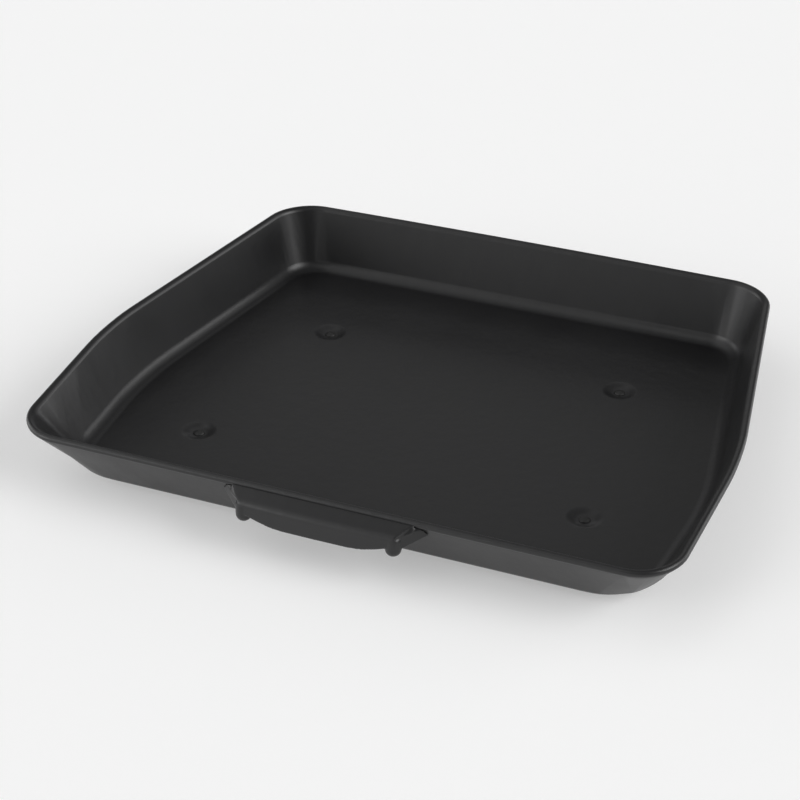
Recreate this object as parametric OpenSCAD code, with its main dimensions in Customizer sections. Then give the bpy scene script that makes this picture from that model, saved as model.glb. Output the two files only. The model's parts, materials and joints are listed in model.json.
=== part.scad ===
// Paint roller tray: one shallow moulded tub with a six-cornered plan that is narrow at the
// back, widest at a soft bend and a little narrower again at the front. All its walls lean
// outwards and end in a small round bead. A hooded pull grip sits on the middle of the
// front wall, and four push-in rubber feet hold the floor clear of the bench.
// +Z is up and the grip points towards -Y. Millimetres.

/* [Plan] */
// Width over the rim at the back edge
back_w = 336; // [280:1:380]
// Width over the rim at the bend, which is the widest place
bend_w = 400; // [385:1:440]
// Width over the rim at the front edge
front_w = 388; // [370:1:400]
// Length of the rim from the front edge to the back edge
tray_len = 324; // [280:1:380]
// Distance of the bend from the front edge
bend_y = 120; // [100:1:150]
// Radius of the rim at the two back corners
back_r = 31; // [24:1:45]
// Radius of the rim at the two front corners
front_r = 28; // [24:1:45]
// Radius of the rim at the two bends
bend_r = 240; // [120:5:300]
// Outward bow of the rim at the middle of the back edge
back_bow = 1.5; // [0:0.1:3]

/* [Walls] */
// Height of the rim above the inside floor, from the back as far as the bend
rim_h = 41; // [32:0.5:50]
// Height of the rim above the inside floor at the front edge
front_rim_h = 34.5; // [30:0.5:50]
// Thickness of the walls and the floor
wall_t = 2.5; // [2:0.1:3]
// How far the foot of the back wall stands in from the rim
back_lean = 15; // [12:0.5:20]
// How far the foot of a side wall stands in from the rim
side_lean = 17; // [12:0.5:20]
// How far the foot of the front wall stands in from the rim
front_lean = 23; // [16:0.5:26]
// Length of the soft curve from the floor into the walls, measured along the floor
fillet_len = 6.5; // [4:0.5:9]
// Radius of the floor's back corners
back_floor_r = 24; // [18:1:30]
// Radius of the floor's front corners
front_floor_r = 36; // [18:1:40]

/* [Rim bead] */
// Diameter of the round bead along the rim
bead_d = 4.4; // [3.6:0.1:5]

/* [Feet] */
// Distance of a back foot from the centre line
back_foot_x = 98; // [80:1:110]
// Distance of the back feet from the front edge
back_foot_y = 229; // [200:1:250]
// Distance of a front foot from the centre line
front_foot_x = 121; // [100:1:135]
// Distance of the front feet from the front edge
front_foot_y = 88; // [60:1:100]
// Diameter of the shallow dish that seats a foot
dish_d = 21; // [18:0.5:24]
// Depth of the dish
dish_depth = 1.8; // [1.2:0.1:2.4]
// Diameter of a foot's pad
pad_d = 16; // [12:0.5:18]
// Height of a foot's pad
pad_h = 3; // [2:0.5:6]
// Diameter of the stem and of the hole that it is pushed through
stem_d = 4.5; // [4:0.5:8]

/* [Grip] */
// Width of the grip where it leaves the rim
grip_w = 112; // [90:1:130]
// Distance that the grip stands out in front of the rim
grip_out = 10.5; // [9:0.5:14]
// Distance that each end of the grip tapers in on its way out
grip_taper = 8; // [6:0.5:11]
// Drop of the grip's top from the rim to its front ridge
grip_drop = 6.5; // [4:0.5:9]
// Height of the skirt below the ridge
skirt_h = 13.4; // [9:0.2:14]
// Bow of the ridge and the skirt at the middle of the grip
grip_bow = 1; // [0:0.1:2]
// Thickness of the grip's walls
grip_t = 2.4; // [2:0.1:3]
// Thickness of the rib at each end of the grip
rib_t = 5; // [3:0.5:6]
// Height of each rib at the rim
rib_root_h = 7.5; // [5:0.5:12]
// Diameter of the round post at the front of each rib
post_d = 9; // [7:0.5:10]
// Distance of each post from the centre line
post_x = 44; // [36:0.5:48]
// How far the skirt's lower edge curves up on its way to each post
skirt_rise = 6; // [1:0.5:7]

/* [Hidden] */

$fn = 64;
eps = 0.01;

tray_colour = [0.16, 0.16, 0.165];
grip_colour = [0.18, 0.18, 0.185];
foot_colour = [0.09, 0.09, 0.09];

// Levels above the bench
dish_t = 2.2;
floor_z = pad_h + dish_t + dish_depth;
underside_z = floor_z - wall_t;

// The front edge's place, with the origin under the middle of the whole tray
front_y = -(tray_len + back_bow - grip_out) / 2;

bead_r = bead_d / 2;
corner_steps = 9;
bend_steps = 6;
bow_steps = 8;
fillet_steps = 6;
bead_steps = 9;
rim_dip = rim_h - front_rim_h;
dip_blend = 25;

// Share of the side walls' lean at the front and at the back corners
front_flare = 1.2;
back_flare = 0.82;

// How far back the bend moves between the rim and the floor
bend_shift = 8;

// ---- outlines -------------------------------------------------------------------------

function unit(v) = v / norm(v);
function mix(a, b, t) = a + (b - a) * t;

// The six corners of the plan, clockwise from the front left. lean is 0 on the rim and
// 1 at the foot of the walls.
function corners(lean) =
    let (
        yf = lean * front_lean,
        yb = tray_len - lean * back_lean,
        wf = front_w / 2 - lean * side_lean * front_flare,
        wm = bend_w / 2 - lean * side_lean,
        wb = back_w / 2 - lean * side_lean * back_flare,
        ym = bend_y + lean * bend_shift
    )
    [[-wf, yf], [-wm, ym], [-wb, yb], [wb, yb], [wm, ym], [wf, yf]];

// Corner radii in the same order
function radii(lean) =
    let (
        rf = mix(front_r, front_floor_r, lean),
        rb = mix(back_r, back_floor_r, lean)
    )
    [rf, bend_r, rb, rb, bend_r, rf];

function line_normal(a, b) = let (d = unit(b - a)) [d[1], -d[0]];

// Corner i of the plan after all its edges have moved inwards by inset
function moved_corner(c, i, inset) =
    let (
        n = len(c),
        n1 = line_normal(c[(i + n - 1) % n], c[i]),
        n2 = line_normal(c[i], c[(i + 1) % n])
    )
    c[i] + (n1 + n2) * inset / (1 + n1 * n2);

// Arc of radius r between the edges that meet at b
function corner_arc(a, b, c, r, steps) =
    let (
        u = unit(a - b),
        v = unit(c - b),
        half = acos(u * v) / 2,
        centre = b + unit(u + v) * r / sin(half),
        p = b + u * r / tan(half) - centre,
        turn = half * 2 - 180
    )
    [for (k = [0:steps]) let (t = turn * k / steps)
        centre + [p[0] * cos(t) - p[1] * sin(t), p[0] * sin(t) + p[1] * cos(t)]];

// Points along the back edge, bowed outwards, without its two ends
function bowed_edge(a, b, bow) =
    [for (k = [1:bow_steps - 1]) let (t = k / bow_steps)
        mix(a, b, t) + [0, bow * 4 * t * (1 - t)]];

// The whole outline at one lean, moved inwards by inset
function outline(lean, inset) =
    let (
        c = corners(lean),
        m = [for (i = [0:5]) moved_corner(c, i, inset)],
        r = radii(lean),
        arcs = [for (i = [0:5]) corner_arc(
            m[(i + 5) % 6], m[i], m[(i + 1) % 6],
            max(r[i] - inset, 4),
            (i == 1 || i == 4) ? bend_steps : corner_steps)],
        back = bowed_edge(arcs[2][corner_steps], arcs[3][0], back_bow * (1 - lean))
    )
    concat(arcs[0], arcs[1], arcs[2], back, arcs[3], arcs[4], arcs[5]);

// Height of the rim above the inside floor at a distance y from the front edge
function rim_height(y) =
    let (
        slope = rim_dip / bend_y,
        into = bend_y + dip_blend - y
    )
    y > bend_y + dip_blend ? rim_h
    : y > bend_y - dip_blend ? rim_h - slope * into * into / (4 * dip_blend)
    : rim_h - slope * (bend_y - max(y, 0));

RIM = outline(0, 0);
RIM_Z = [for (p = RIM) rim_height(p[1])];

// ---- rings of the shell ---------------------------------------------------------------

// A ring at one lean and inset, up at share of the rim's height and then by dz
function ring(lean, inset, share, dz) =
    let (o = outline(lean, inset))
    [for (i = [0:len(o) - 1]) [o[i][0], o[i][1], share * RIM_Z[i] + dz]];

// A ring on the curve that starts at ring a, heads for b and ends at c
function curve_ring(a, b, c, t) =
    [for (i = [0:len(a) - 1])
        a[i] * (1 - t) * (1 - t) + b[i] * 2 * t * (1 - t) + c[i] * t * t];

function curve(a, b, c, steps) = [for (k = [0:steps]) curve_ring(a, b, c, k / steps)];

// A ring on the straight wall between its foot and its head
function wall_ring(foot, head, t) = [for (i = [0:len(foot) - 1]) mix(foot[i], head[i], t)];

// Where the walls' inner and outer faces meet the bead, inwards from the rim's edge
inner_head_inset = bead_d + 0.3;
outer_head_inset = inner_head_inset - wall_t * 1.12;
outer_head_drop = bead_d + 0.6;

// How far the outer face's foot stands outside the inner face's foot
outer_out = 1.4;

// Shares of the wall's height at which its lower and upper curves end
curve_share = 0.16;
lip_share = 0.86;
lip_top_share = 0.985;

OUT_FOOT = ring(1, -outer_out, 0, -wall_t);
OUT_HEAD = ring(0, outer_head_inset, 1, -outer_head_drop);
IN_FOOT = ring(1, 0, 0, 0);
IN_HEAD = ring(0, inner_head_inset, 1, -bead_r);

// The bead's rings, from low on its inner side round the outside to its top
function bead_ring(a) = ring(0, bead_r - bead_r * sin(a), 1, -bead_r - bead_r * cos(a));

SHELL_RINGS = concat(
    curve(ring(1, fillet_len - outer_out, 0, -wall_t), OUT_FOOT,
        wall_ring(OUT_FOOT, OUT_HEAD, curve_share), fillet_steps),
    [OUT_HEAD],
    [for (k = [0:bead_steps]) bead_ring(mix(-10, 185, k / bead_steps))],
    [ring(0, bead_d * 0.83, 1, -0.55)],
    [wall_ring(IN_FOOT, IN_HEAD, lip_top_share)],
    [wall_ring(IN_FOOT, IN_HEAD, lip_share)],
    curve(wall_ring(IN_FOOT, IN_HEAD, curve_share), IN_FOOT,
        ring(1, fillet_len, 0, 0), fillet_steps)
);

// A closed solid through rings of equal length, with a flat face on its first and last
module loft(rings) {
    n = len(rings[0]);
    last = (len(rings) - 1) * n;
    points = [for (r = rings) for (p = r) p];
    sides = [for (j = [0:len(rings) - 2]) for (i = [0:n - 1])
        let (
            a = j * n + i,
            b = j * n + (i + 1) % n
        )
        each [[a, b, a + n], [b, b + n, a + n]]];
    first_cap = [[for (i = [n - 1:-1:0]) i]];
    last_cap = [[for (i = [0:n - 1]) last + i]];
    polyhedron(points = points, faces = concat(first_cap, sides, last_cap), convexity = 6);
}

// ---- dishes and feet ------------------------------------------------------------------

foot_top_z = floor_z - dish_depth;
head_d = stem_d + 2.2;
head_h = 1.5;

module at_foot(x, y) translate([x, front_y + y, 0]) children();

module at_each_foot() {
    for (side = [-1, 1]) {
        at_foot(side * back_foot_x, back_foot_y) children();
        at_foot(side * front_foot_x, front_foot_y) children();
    }
}

// Underside of a dish, a low cone that stands below the floor
module dish_boss() {
    translate([0, 0, pad_h])
        cylinder(h = underside_z - pad_h + wall_t / 2, d1 = dish_d - 3, d2 = dish_d + 3);
}

// The hollow of a dish, with sloping sides, and the stem's hole through its middle
module dish_cut() {
    translate([0, 0, foot_top_z])
        cylinder(h = dish_depth + eps, d1 = dish_d - 8, d2 = dish_d);
    translate([0, 0, pad_h - 1])
        cylinder(h = floor_z, d = stem_d);
}

// A push-in foot: pad under the dish, stem through it, low domed head inside it
module foot() {
    color(foot_colour)
    rotate_extrude()
        polygon([
            [0, 0],
            [pad_d / 2 - 1, 0],
            [pad_d / 2, 1],
            [pad_d / 2, pad_h],
            [stem_d / 2, pad_h],
            [stem_d / 2, foot_top_z],
            [head_d / 2, foot_top_z],
            [head_d / 2 - 0.4, foot_top_z + head_h * 0.55],
            [head_d / 2 - 1.5, foot_top_z + head_h * 0.9],
            [0, foot_top_z + head_h]
        ]);
}

module tray_shell() {
    color(tray_colour)
    difference() {
        union() {
            translate([0, front_y, floor_z]) loft(SHELL_RINGS);
            at_each_foot() dish_boss();
        }
        at_each_foot() dish_cut();
    }
}

// ---- grip -----------------------------------------------------------------------------

grip_steps = 12;
root_z = front_rim_h - bead_r;
ridge_z = front_rim_h - grip_drop;
low_z = ridge_z - skirt_h;
rib_sink = 2;
flange_low_z = root_z - 11;
wall_gap = 0.02;
post_y = -5.5;
rib_climb = 1.2;
flange_t = grip_t * 1.2;
skirt_flat = post_x * 0.4;

// Far limits of the cutting shapes, well clear of the grip on every side
far_front = -grip_out - 2;
far_back = 16;
far_low = -10;
far_high = front_rim_h + 20;

// How far the front wall's outer face moves back for each millimetre down
wall_top_z = front_rim_h - outer_head_drop;
wall_slope = (front_lean - outer_out - outer_head_inset) / (wall_top_z + wall_t);

// Top of the hood at a distance out from the rim
function top_z(out) = mix(root_z, ridge_z, out / grip_out);

// Outer face of the front wall at a height, as a distance behind the rim's edge
function wall_y(z) = outer_head_inset + (wall_top_z - z) * wall_slope;

// Draws a section given as [y, z] points across the full width of the grip
module across(section) {
    rotate([90, 0, 90])
        linear_extrude(grip_w * 2, center = true)
            polygon(section);
}

// Plan of the grip inside its ends, with the bowed front, shrunk by a margin
module grip_plan(margin) {
    reach = grip_out - grip_bow - margin;
    root_half = grip_w / 2 - rib_t / 2;
    half = root_half - grip_taper;
    front = [for (k = [0:grip_steps]) let (t = k / grip_steps)
        [mix(-half, half, t), -reach - grip_bow * 4 * t * (1 - t)]];
    polygon(concat(
        [[-root_half, far_back], [-root_half, 0]],
        front,
        [[root_half, 0], [root_half, far_back]]
    ));
}

// Everything in front of the wall and below the hood's top, moved down by a drop
module below_top(drop) {
    across([
        [far_front, top_z(-far_front) - drop],
        [far_back, top_z(-far_back) - drop],
        [far_back, far_low],
        [far_front, far_low]
    ]);
}

// The tray's own front wall and rim, and everything behind them
module wall_space() {
    across([
        [-wall_gap, far_high],
        [-wall_gap, front_rim_h - bead_d + 0.2],
        [wall_y(wall_top_z) - wall_gap, wall_top_z],
        [wall_y(far_low) - wall_gap, far_low],
        [far_back * 2, far_low],
        [far_back * 2, far_high]
    ]);
}

// Hooded top and skirt, hollow below, with a flange that lies against the front wall
module hood() {
    difference() {
        intersection() {
            translate([0, 0, low_z]) linear_extrude(far_high) grip_plan(0);
            below_top(0);
        }
        intersection() {
            translate([0, 0, low_z - 1]) linear_extrude(far_high) grip_plan(grip_t);
            below_top(grip_t * 1.1);
            across([
                [far_front, far_low],
                [far_front, far_high],
                [wall_y(far_high) - flange_t, far_high],
                [wall_y(flange_low_z) - flange_t, flange_low_z],
                [far_back * 2, flange_low_z],
                [far_back * 2, far_low]
            ]);
        }
        skirt_corners();
    }
}

// Space below the skirt, whose lower edge curves up on its way to each post
module skirt_corners() {
    edge = [for (k = [-grip_steps:grip_steps]) let (
            x = post_x * k / grip_steps,
            past = max(abs(x) - skirt_flat, 0) / (post_x - skirt_flat)
        ) [x, low_z + skirt_rise * past * past]];
    rotate([90, 0, 0])
        linear_extrude(far_back * 2, center = true)
            polygon(concat(
                [[-grip_w, far_low], [-grip_w, low_z + skirt_rise]],
                edge,
                [[grip_w, low_z + skirt_rise], [grip_w, far_low]]
            ));
}

// Rib under one end of the hood's top, which ends at the front in a round post
module end_rib(side) {
    root = [side * (grip_w / 2 - 2), 2];
    post = [side * post_x, post_y];
    run = root - post;
    intersection() {
        union() {
            translate([post[0], post[1], low_z - 1])
                rotate([0, 0, atan2(run[1], run[0])])
                    translate([0, -rib_t / 2, 0]) cube([norm(run), rib_t, far_high]);
            translate([post[0], post[1], low_z - 1 + post_d / 2]) {
                cylinder(h = far_high, d = post_d);
                sphere(d = post_d);
            }
        }
        below_top(rib_sink);
    }
}

// Space below the ribs, whose lower edges climb from the posts back to the wall
module below_ribs() {
    root_low_z = root_z - rib_root_h;
    across([
        [(far_low - root_low_z) / rib_climb, far_low],
        [(far_high - root_low_z) / rib_climb, far_high],
        [far_back * 4, far_high],
        [far_back * 4, far_low]
    ]);
}

module front_grip() {
    color(grip_colour)
    translate([0, front_y, floor_z])
        difference() {
            union() {
                hood();
                end_rib(-1);
                end_rib(1);
            }
            wall_space();
            below_ribs();
        }
}

tray_shell();
front_grip();
at_foot(-back_foot_x, back_foot_y) foot();  // foot_back_left
at_foot(back_foot_x, back_foot_y) foot();  // foot_back_right
at_foot(-front_foot_x, front_foot_y) foot();  // foot_front_left
at_foot(front_foot_x, front_foot_y) foot();  // foot_front_right
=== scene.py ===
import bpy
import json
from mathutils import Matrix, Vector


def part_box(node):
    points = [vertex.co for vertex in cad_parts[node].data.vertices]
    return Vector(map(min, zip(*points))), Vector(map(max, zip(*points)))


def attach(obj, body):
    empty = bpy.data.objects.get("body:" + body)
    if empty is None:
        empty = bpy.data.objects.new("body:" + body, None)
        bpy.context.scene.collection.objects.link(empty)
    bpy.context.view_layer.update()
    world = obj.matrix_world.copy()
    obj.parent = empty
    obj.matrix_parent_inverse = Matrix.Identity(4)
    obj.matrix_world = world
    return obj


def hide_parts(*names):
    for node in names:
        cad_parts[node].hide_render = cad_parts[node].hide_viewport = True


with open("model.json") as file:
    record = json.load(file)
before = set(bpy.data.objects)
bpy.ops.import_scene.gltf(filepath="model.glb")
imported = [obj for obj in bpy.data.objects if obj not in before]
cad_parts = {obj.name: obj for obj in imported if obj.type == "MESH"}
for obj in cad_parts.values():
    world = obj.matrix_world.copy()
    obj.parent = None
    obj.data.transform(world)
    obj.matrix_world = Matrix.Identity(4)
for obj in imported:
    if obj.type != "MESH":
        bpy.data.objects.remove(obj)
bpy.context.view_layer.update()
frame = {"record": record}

import json
import math

import bmesh
import bpy
from mathutils import Matrix, Vector


# ---- Tray shell -----------------------------------------------------------------------
# One shallow injection-moulded tub of black polypropylene. Its walls lean outwards so
# that it leaves the mould, and end in a solid round bead. Four dishes pressed into the
# floor take the feet.

mm = 0.001
same_place = 0.001 * mm
same_level = 0.01 * mm

shell_low, shell_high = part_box("tray_shell")
front_y = shell_low.y
mounts = {mount["name"]: mount["pos_m"] for mount in frame["record"]["mounts"]}
floor_z = mounts["tray_floor"][2]
rim_h = shell_high.z - floor_z

tray_len = 324 * mm
bend_y = 120 * mm
front_half_w = 194 * mm
bend_half_w = 200 * mm
back_half_w = 168 * mm
back_bow = 1.44 * mm
front_lean, side_lean, back_lean = 23 * mm, 17 * mm, 15 * mm
front_flare, back_flare = 1.2, 0.82
bend_shift = 8 * mm
least_radius = 4 * mm
rim_radii = {"front": 28 * mm, "bend": 240 * mm, "back": 31 * mm}
foot_radii = {"front": 36 * mm, "bend": 240 * mm, "back": 24 * mm}
rim_dip = 6.5 * mm
dip_blend = 25 * mm

bead_r = 2.2 * mm
wall_t = 2.5 * mm
inner_head = 2 * bead_r + 0.3 * mm
outer_head = inner_head - wall_t * 1.12
outer_head_drop = 2 * bead_r + 0.6 * mm
outer_foot = 1.4 * mm
foot_curve = 6.5 * mm
head_curve = 1.2 * mm

foot_places = {
    "foot_back_left": (-98 * mm, 229 * mm),
    "foot_back_right": (98 * mm, 229 * mm),
    "foot_front_left": (-121 * mm, 88 * mm),
    "foot_front_right": (121 * mm, 88 * mm),
}
dish_r = 10.5 * mm
dish_depth = 1.8 * mm
stem_r = 2.25 * mm
pad_top = 3 * mm


def rim_height(y):
    """Height of the rim above the floor, level behind the bend and falling towards the front."""
    slope = rim_dip / bend_y
    into = bend_y + dip_blend - y
    if into < 0:
        return rim_h
    if into < 2 * dip_blend:
        return rim_h - slope * into * into / (4 * dip_blend)
    return rim_h - slope * (bend_y - max(y, 0))


def plan_corners(lean, inset):
    """The plan's six corners, once its edges have moved inwards by inset.
    lean is 0 on the rim and 1 at the foot of the walls."""
    front = lean * front_lean
    back = tray_len - lean * back_lean
    corners = [
        Vector((-(front_half_w - lean * side_lean * front_flare), front)),
        Vector((-(bend_half_w - lean * side_lean), bend_y + lean * bend_shift)),
        Vector((-(back_half_w - lean * side_lean * back_flare), back)),
    ]
    corners += [Vector((-c.x, c.y)) for c in reversed(corners)]
    moved = []
    for i, corner in enumerate(corners):
        before = (corner - corners[i - 1]).normalized()
        after = (corners[(i + 1) % 6] - corner).normalized()
        n1 = Vector((before.y, -before.x))
        n2 = Vector((after.y, -after.x))
        moved.append(corner + (n1 + n2) * inset / (1 + n1.dot(n2)))
    return moved


def level_line(bm, lean, inset, share, drop):
    """One closed line round the tray: six corners, rounded by bevels, then lifted to their height."""
    corners = plan_corners(lean, inset)
    verts = [bm.verts.new((c.x, c.y, 0)) for c in corners]
    for a, b in zip(verts, verts[1:] + verts[:1]):
        bm.edges.new((a, b))
    for place, pair, segments in (("front", (0, 5), 12), ("bend", (1, 4), 6), ("back", (2, 3), 12)):
        radius = rim_radii[place] * (1 - lean) + foot_radii[place] * lean - inset
        i = pair[0]
        to_last = (corners[i - 1] - corners[i]).normalized()
        to_next = (corners[i + 1] - corners[i]).normalized()
        half = math.acos(to_last.dot(to_next)) / 2
        bmesh.ops.bevel(
            bm,
            geom=[verts[k] for k in pair],
            offset=max(radius, least_radius) / math.tan(half),
            offset_type="OFFSET",
            affect="VERTICES",
            segments=segments,
            profile=0.5,
            material=-1,
        )
    flat = [e for e in bm.edges if all(v.co.z == 0 for v in e.verts)]
    long_edges = [e for e in flat if e.calc_length() > 60 * mm]
    bmesh.ops.subdivide_edges(bm, edges=long_edges, cuts=9)
    flat = [e for e in bm.edges if all(v.co.z == 0 for v in e.verts)]
    line = {v for e in flat for v in e.verts}
    back = [v for v in line if v.co.y > corners[2].y - same_level]
    half_back = max(abs(v.co.x) for v in back)
    for v in back:
        v.co.y += back_bow * (1 - lean) * (1 - (v.co.x / half_back) ** 2)
    for v in line:
        v.co.z = floor_z + share * rim_height(v.co.y) - drop
        v.co.y += front_y
    return flat


def bead_line(bm, angle):
    """A line on the bead: 0 is its lowest point, 90 its outermost and 180 its top."""
    a = math.radians(angle)
    return level_line(bm, 0, bead_r - bead_r * math.sin(a), 1, bead_r + bead_r * math.cos(a))


def soften_edges(bm, edges, offset, segments):
    bmesh.ops.bevel(
        bm, geom=edges, offset=offset, offset_type="OFFSET", affect="EDGES",
        segments=segments, profile=0.5, material=-1,
    )


def lathe(bm, x, y, profile, steps):
    """Spins a profile of (radius, height) points about the upright axis through x, y."""
    verts = [bm.verts.new((x + r, y, z)) for r, z in profile]
    edges = [bm.edges.new(pair) for pair in zip(verts, verts[1:])]
    bmesh.ops.spin(
        bm, geom=verts + edges, cent=(x, y, 0), axis=(0, 0, 1), angle=math.tau, steps=steps,
        use_merge=True, use_duplicate=False,
    )


def dish(bm, x, y):
    """Lathes one dish through the floor's thickness: a soft bowl above, a low boss below."""
    bowl_steps = 10
    bowl_edge, bowl_foot = dish_r + 0.8 * mm, stem_r + 1.6 * mm
    profile = []
    for k in range(bowl_steps + 1):
        t = k / bowl_steps
        fall = (1 - math.cos(math.pi * t)) / 2
        profile.append((bowl_edge + (bowl_foot - bowl_edge) * t, floor_z - dish_depth * fall))
    profile += [
        (stem_r, floor_z - dish_depth),
        (stem_r, pad_top),
        (dish_r - 2 * mm, pad_top),
        (dish_r - 1.4 * mm, pad_top + 0.2 * mm),
        (dish_r + 1.1 * mm, floor_z - wall_t - 0.15 * mm),
        (dish_r + 1.9 * mm, floor_z - wall_t),
    ]
    lathe(bm, x, y, profile, steps=56)


def object_from(bm, name):
    mesh = bpy.data.meshes.new(name)
    bm.to_mesh(mesh)
    bm.free()
    mesh.shade_smooth()
    piece = bpy.data.objects.new(name, mesh)
    bpy.context.scene.collection.objects.link(piece)
    return piece


def moulded_shell():
    bm = bmesh.new()
    foot = level_line(bm, 1, 0, 0, 0)
    bmesh.ops.contextual_create(bm, geom=foot)
    head = level_line(bm, 0, inner_head, 1, bead_r * 0.75)
    bead = [bead_line(bm, angle) for angle in (186, 165, 140, 115, 90, 65, 40, 14)]
    under_rim = level_line(bm, 0, outer_head, 1, outer_head_drop)
    outer = level_line(bm, 1, -outer_foot, 0, wall_t)
    lines = [foot, head, *bead, under_rim, outer]
    for a, b in zip(lines, lines[1:]):
        bmesh.ops.bridge_loops(bm, edges=a + b)
    bmesh.ops.contextual_create(bm, geom=outer)
    softened = ((foot, foot_curve, 8), (outer, foot_curve, 8), (head, head_curve, 4))
    for edges, offset, segments in softened:
        soften_edges(bm, edges, offset, segments)
    flats = [f for f in bm.faces if len(f.verts) > 8]
    bmesh.ops.delete(bm, geom=flats, context="FACES_ONLY")
    for x, y in foot_places.values():
        dish(bm, x, front_y + y)
    for level in (floor_z, floor_z - wall_t):
        open_edges = [
            e for e in bm.edges
            if e.is_boundary and all(abs(v.co.z - level) < same_level for v in e.verts)
        ]
        bmesh.ops.triangle_fill(bm, use_beauty=True, use_dissolve=False, edges=open_edges)
    bmesh.ops.remove_doubles(bm, verts=bm.verts, dist=same_place)
    bmesh.ops.recalc_face_normals(bm, faces=bm.faces)
    return object_from(bm, "moulded_tray_shell")


def linear(hex_colour):
    """An sRGB hex colour as linear values."""
    parts = [int(hex_colour[i:i + 2], 16) / 255 for i in (1, 3, 5)]
    return [c / 12.92 if c <= 0.04045 else ((c + 0.055) / 1.055) ** 2.4 for c in parts] + [1]


def add(tree, kind, settings=None, links=None):
    """Adds a node. settings are its properties or socket values, links are socket: output."""
    node = tree.nodes.new(kind)
    for name, value in (settings or {}).items():
        if name in node.inputs.keys():
            node.inputs[name].default_value = value
        else:
            setattr(node, name, value)
    for name, output in (links or {}).items():
        tree.links.new(output, node.inputs[name])
    return node


def black_polypropylene():
    """Injection-moulded black PP: a fine spark-eroded grain under a soft satin gloss, with
    faint flow marks that run up the walls and slightly paler, duller patches."""
    material = bpy.data.materials.new("black_moulded_polypropylene")
    material.use_nodes = True
    tree = material.node_tree
    shader = tree.nodes["Principled BSDF"]
    shader.inputs["IOR"].default_value = 1.49
    place = add(tree, "ShaderNodeTexCoord").outputs["Object"]
    grain = add(
        tree, "ShaderNodeTexNoise",
        {"Scale": 1 / (0.8 * mm), "Detail": 3, "Roughness": 0.6},
        {"Vector": place},
    )
    clouds = add(
        tree, "ShaderNodeTexNoise",
        {"Scale": 1 / (45 * mm), "Detail": 4, "Roughness": 0.55},
        {"Vector": place},
    )
    upwards = add(
        tree, "ShaderNodeMapping",
        {"Scale": (1 / (7 * mm), 1 / (7 * mm), 1 / (60 * mm))},
        {"Vector": place},
    )
    flow = add(
        tree, "ShaderNodeTexNoise",
        {"Scale": 1, "Detail": 3, "Roughness": 0.5},
        {"Vector": upwards.outputs[0]},
    )
    colour = add(tree, "ShaderNodeMix", {"data_type": "RGBA"}, {"Factor": clouds.outputs["Fac"]})
    colour.inputs["A"].default_value = linear("#141415")
    colour.inputs["B"].default_value = linear("#19191a")
    tree.links.new(colour.outputs["Result"], shader.inputs["Base Color"])
    rough = add(
        tree, "ShaderNodeMapRange",
        {"From Min": 0.3, "From Max": 0.7, "To Min": 0.33, "To Max": 0.41},
        {"Value": clouds.outputs["Fac"]},
    )
    tree.links.new(rough.outputs["Result"], shader.inputs["Roughness"])
    streaks = add(
        tree, "ShaderNodeBump", {"Strength": 0.6, "Distance": 0.25 * mm},
        {"Height": flow.outputs["Fac"]},
    )
    bump = add(
        tree, "ShaderNodeBump", {"Strength": 0.35, "Distance": 0.03 * mm},
        {"Height": grain.outputs["Fac"], "Normal": streaks.outputs["Normal"]},
    )
    tree.links.new(bump.outputs["Normal"], shader.inputs["Normal"])
    return material


tray_plastic = black_polypropylene()
shell = moulded_shell()
shell.data.materials.append(tray_plastic)
even_shading = shell.modifiers.new("even_shading", "WEIGHTED_NORMAL")
even_shading.keep_sharp = True
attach(shell, "root")
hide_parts("tray_shell")


# ---- Front grip -----------------------------------------------------------------------
# A hooded finger pull of the same black polypropylene, moulded with a top, a skirt and a
# flange that lies against the tray's front wall. A rib closes each end and runs forward
# under the top into a round post.

grip_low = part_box("front_grip")[0]
grip_t = 2.4 * mm
front_rim_h = rim_h - rim_dip
root_z = front_rim_h - bead_r
grip_out = front_y - grip_low.y
ridge_z = front_rim_h - 6.5 * mm
post_low_z = grip_low.z - floor_z
low_z = post_low_z + 1 * mm
root_half_w, ridge_half_w = 53.6 * mm, 45.8 * mm
ridge_r = 2.4 * mm
grip_bow = 1 * mm
skirt_rise = 6 * mm
skirt_flat = 0.4
post_x, post_y, post_r = 44 * mm, -5.5 * mm, 4.5 * mm
post_sink = 1.4 * mm
rib_r = 2.6 * mm
rib_sink, rib_root_sink = 2 * mm, 1.2 * mm
rib_root_x, rib_root_y = 54 * mm, 2 * mm
rib_root_h = 6.5 * mm
rib_tuck = 0.9 * mm
flange_h = 11 * mm
voxel = 0.42 * mm
wall_gap = 0.05 * mm

wall_top_z = front_rim_h - outer_head_drop
wall_slope = (front_lean - outer_foot - outer_head) / (wall_top_z + wall_t)


def wall_y(z):
    """Outer face of the front wall at a height, as a distance behind the rim's edge."""
    return outer_head + (wall_top_z - z) * wall_slope


def top_z(out):
    return root_z + (ridge_z - root_z) * out / grip_out


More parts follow.
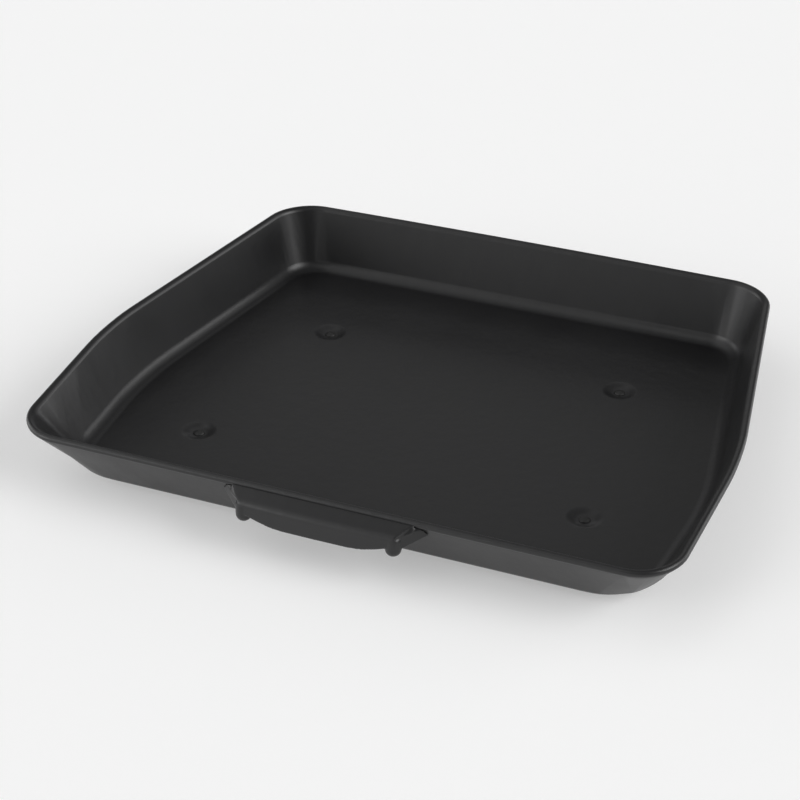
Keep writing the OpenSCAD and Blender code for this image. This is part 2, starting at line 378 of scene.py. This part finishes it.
def hood(bm):
    """Folds one strip into flange, top and skirt, bows its front and gives it thickness."""
    flange_low = root_z - flange_h
    front = -grip_out + grip_bow
    section = [
        (wall_y(flange_low) - wall_gap, flange_low),
        (wall_y(wall_top_z) - wall_gap, wall_top_z),
        (0.3 * mm, root_z - bead_r * 0.8),
        (0.6 * mm, root_z + 0.25 * mm),
        (front, ridge_z),
        (front, low_z),
    ]
    start = [bm.verts.new((-1, y, z)) for y, z in section]
    edges = [bm.edges.new(pair) for pair in zip(start, start[1:])]
    swept = bmesh.ops.extrude_edge_only(bm, edges=edges)["geom"]
    end = [v for v in swept if isinstance(v, bmesh.types.BMVert)]
    bmesh.ops.translate(bm, verts=end, vec=(2, 0, 0))
    for v in bm.verts:
        v.co.x *= root_half_w + (ridge_half_w - root_half_w) * max(v.co.y / front, 0)
    ridge = [
        e for e in bm.edges
        if all(v.co.y < 0.9 * front and v.co.z > low_z + 1 * mm for v in e.verts)
    ]
    soften_edges(bm, ridge, ridge_r, 6)
    lengthwise = [e for e in bm.edges if abs(e.verts[0].co.x - e.verts[1].co.x) > 40 * mm]
    bmesh.ops.subdivide_edges(bm, edges=lengthwise, cuts=39, use_grid_fill=True)
    for v in bm.verts:
        share = abs(v.co.x) / ridge_half_w
        v.co.y -= grip_bow * max(v.co.y / front, 0) * max(1 - share * share, 0)
        if abs(v.co.z - low_z) < same_level:
            past = max(abs(v.co.x) / post_x - skirt_flat, 0) / (1 - skirt_flat)
            v.co.z += skirt_rise * min(past, 1) ** 2
    bmesh.ops.recalc_face_normals(bm, faces=bm.faces)
    if sum(f.normal.z * f.calc_area() for f in bm.faces) < 0:
        bmesh.ops.reverse_faces(bm, faces=bm.faces)
    bmesh.ops.solidify(bm, geom=bm.faces[:], thickness=grip_t)


def post(bm, side):
    """A round post with a domed foot and a softened top."""
    top = top_z(post_r - post_y) - post_sink
    made = bmesh.ops.create_cone(
        bm, cap_ends=True, segments=40, radius1=post_r, radius2=post_r, depth=top - post_low_z,
        matrix=Matrix.Translation((side * post_x, post_y, (top + post_low_z) / 2)),
    )["verts"]
    for level, offset in ((post_low_z, post_r * 0.9), (top, post_r * 0.5)):
        rim = {
            e for v in made if v.is_valid for e in v.link_edges
            if all(abs(w.co.z - level) < same_level for w in e.verts)
        }
        soften_edges(bm, list(rim), offset, 8)


def rib(bm, side):
    """A plate from the post back to the wall. Its top is rounded and tucked under the bead,
    and its foot climbs to the wall."""
    front = Vector((side * post_x, post_y))
    run = (Vector((side * rib_root_x, rib_root_y)) - front).normalized()
    across = Vector((-run.y, run.x)) * rib_r
    posts = []
    for shift in (across, -across):
        near = front + shift
        for from_wall in (False, True):
            pair = []
            for is_top in (False, True):
                if from_wall:
                    z = root_z - (rib_root_sink if is_top else rib_root_h)
                    y = rib_tuck if is_top else wall_y(z) - wall_gap
                else:
                    y = near.y
                    z = top_z(-y) - rib_sink if is_top else post_low_z + 3 * mm
                spot = near + run * (y - near.y) / run.y
                pair.append(bm.verts.new((spot.x, spot.y, z)))
            posts.append(pair)
    ring = [posts[0], posts[1], posts[3], posts[2]]
    bm.faces.new([pair[0] for pair in ring])
    bm.faces.new([pair[1] for pair in reversed(ring)])
    for a, b in zip(ring, ring[1:] + ring[:1]):
        bm.faces.new([a[0], a[1], b[1], b[0]])
    tops = [bm.edges.get((posts[i][1], posts[i + 1][1])) for i in (0, 2)]
    soften_edges(bm, tops, rib_r * 0.7, 6)


def moulded_grip():
    bm = bmesh.new()
    hood(bm)
    for side in (-1, 1):
        post(bm, side)
        rib(bm, side)
    bmesh.ops.recalc_face_normals(bm, faces=bm.faces)
    bmesh.ops.translate(bm, verts=bm.verts, vec=(0, front_y, floor_z))
    return object_from(bm, "moulded_front_grip")


grip = moulded_grip()
grip.data.materials.append(tray_plastic)
one_skin = grip.modifiers.new("one_skin", "REMESH")
one_skin.mode = "VOXEL"
one_skin.voxel_size = voxel
one_skin.use_smooth_shade = True
soften = grip.modifiers.new("soften", "SMOOTH")
soften.factor = 0.5
soften.iterations = 14
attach(grip, "root")
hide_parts("front_grip")


# ---- Rubber feet ----------------------------------------------------------------------
# Four black rubber feet, each one moulded piece: a pad under the floor, a stem through
# the floor's hole and a low domed head that is pushed through and holds it.


def rubber_foot(name):
    low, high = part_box(name)
    x, y = (low.x + high.x) / 2, (low.y + high.y) / 2
    pad_r = (high.x - low.x) / 2
    head_low, head_r = floor_z - dish_depth, stem_r + 1.1 * mm
    section = [
        (0, low.z + 0.6 * mm),
        (pad_r * 0.55, low.z + 0.6 * mm),
        (pad_r * 0.62, low.z),
        (pad_r - 1.1 * mm, low.z),
        (pad_r - 0.3 * mm, low.z + 0.35 * mm),
        (pad_r, low.z + 1.1 * mm),
        (pad_r, pad_top - 0.5 * mm),
        (pad_r - 0.5 * mm, pad_top),
        (stem_r, pad_top),
        (stem_r, head_low),
        (head_r - 0.1 * mm, head_low),
        (head_r, head_low + 0.15 * mm),
        (head_r - 0.5 * mm, head_low + 0.5 * mm),
        (head_r - 1.2 * mm, head_low + 0.9 * mm),
        (head_r - 2.1 * mm, head_low + 1.25 * mm),
        (0, high.z),
    ]
    bm = bmesh.new()
    lathe(bm, x, y, section, steps=64)
    bmesh.ops.remove_doubles(bm, verts=bm.verts, dist=same_place)
    bmesh.ops.recalc_face_normals(bm, faces=bm.faces)
    foot = object_from(bm, "rubber_" + name)
    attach(foot, "root")
    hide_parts(name)
    return foot


def matt_rubber():
    """Compression-moulded black rubber: dull, faintly dusty, with a fine even tooth."""
    material = bpy.data.materials.new("matt_black_rubber")
    material.use_nodes = True
    tree = material.node_tree
    shader = tree.nodes["Principled BSDF"]
    shader.inputs["IOR"].default_value = 1.52
    place = add(tree, "ShaderNodeTexCoord").outputs["Object"]
    dust = add(
        tree, "ShaderNodeTexNoise",
        {"Scale": 1 / (5 * mm), "Detail": 4}, {"Vector": place},
    )
    tooth = add(
        tree, "ShaderNodeTexNoise",
        {"Scale": 1 / (0.5 * mm), "Detail": 2}, {"Vector": place},
    )
    colour = add(tree, "ShaderNodeMix", {"data_type": "RGBA"}, {"Factor": dust.outputs["Fac"]})
    colour.inputs["A"].default_value = linear("#0f0f0f")
    colour.inputs["B"].default_value = linear("#161616")
    tree.links.new(colour.outputs["Result"], shader.inputs["Base Color"])
    rough = add(
        tree, "ShaderNodeMapRange",
        {"From Min": 0.3, "From Max": 0.7, "To Min": 0.5, "To Max": 0.64},
        {"Value": dust.outputs["Fac"]},
    )
    tree.links.new(rough.outputs["Result"], shader.inputs["Roughness"])
    bump = add(
        tree, "ShaderNodeBump", {"Strength": 0.5, "Distance": 0.04 * mm},
        {"Height": tooth.outputs["Fac"]},
    )
    tree.links.new(bump.outputs["Normal"], shader.inputs["Normal"])
    return material


rubber = matt_rubber()
for foot_name in foot_places:
    rubber_foot(foot_name).data.materials.append(rubber)


# ---- Studio ---------------------------------------------------------------------------
# Plain pale floor, soft light from large panels, and the camera.

floor_bm = bmesh.new()
bmesh.ops.create_grid(floor_bm, x_segments=1, y_segments=1, size=40)
floor = object_from(floor_bm, "studio_floor")
floor.data.transform(Matrix.Translation((0, 0, -0.1 * mm)))
acrylic = bpy.data.materials.new("backlit_white_acrylic")
acrylic.use_nodes = True
table_top = acrylic.node_tree.nodes["Principled BSDF"]
table_top.inputs["Base Color"].default_value = linear("#d4d4d4")
table_top.inputs["Roughness"].default_value = 0.9
table_top.inputs["Emission Color"].default_value = linear("#ffffff")
table_top.inputs["Emission Strength"].default_value = 0.34
floor.data.materials.append(acrylic)

world = bpy.data.worlds.new("studio")
world.use_nodes = True
world.node_tree.nodes["Background"].inputs["Color"].default_value = (1, 1, 1, 1)
world.node_tree.nodes["Background"].inputs["Strength"].default_value = 0.137
bpy.context.scene.world = world


def soft_light(name, azimuth, elevation, strength):
    """A large diffused panel, far enough away to light the whole tray evenly.
    Azimuth 0 is in front of the grip and 90 on its right."""
    light = bpy.data.lights.new(name, "SUN")
    light.angle = math.radians(38)
    light.energy = strength
    lamp = bpy.data.objects.new(name, light)
    a, e = math.radians(azimuth), math.radians(elevation)
    towards = Vector((math.sin(a) * math.cos(e), -math.cos(a) * math.cos(e), math.sin(e)))
    lamp.rotation_euler = towards.to_track_quat("Z", "Y").to_euler()
    bpy.context.scene.collection.objects.link(lamp)


soft_light("right_panel", 90, 30, 1.85)
soft_light("front_left_low_panel", 315, 8, 1.03)
soft_light("left_low_panel", 270, 8, 0.83)
soft_light("back_right_low_panel", 135, 8, 0.70)
soft_light("front_left_panel", 315, 30, 0.37)
soft_light("front_low_panel", 0, 8, 0.26)
soft_light("left_high_panel", 270, 55, 0.26)
soft_light("front_left_high_panel", 315, 55, 0.14)
soft_light("back_low_panel", 202, 8, 0.13)
soft_light("back_high_panel", 202, 55, 0.13)
soft_light("back_right_panel", 135, 30, 0.18)
soft_light("front_high_panel", 0, 60, 0.16)


camera_data = bpy.data.cameras.new("camera")
camera_data.lens = 90.284
camera_data.sensor_width = 36
camera_data.shift_x = -0.00163
camera_data.shift_y = 0.00014
camera = bpy.data.objects.new("camera", camera_data)
camera.location = (0.3804, -0.9672, 0.6381)
aim = Vector((0.0233, -0.1016, 0.0787))
camera.rotation_euler = (aim - camera.location).to_track_quat("-Z", "Y").to_euler()
bpy.context.scene.collection.objects.link(camera)
bpy.context.scene.camera = camera
bpy.context.scene.view_settings.view_transform = "Standard"
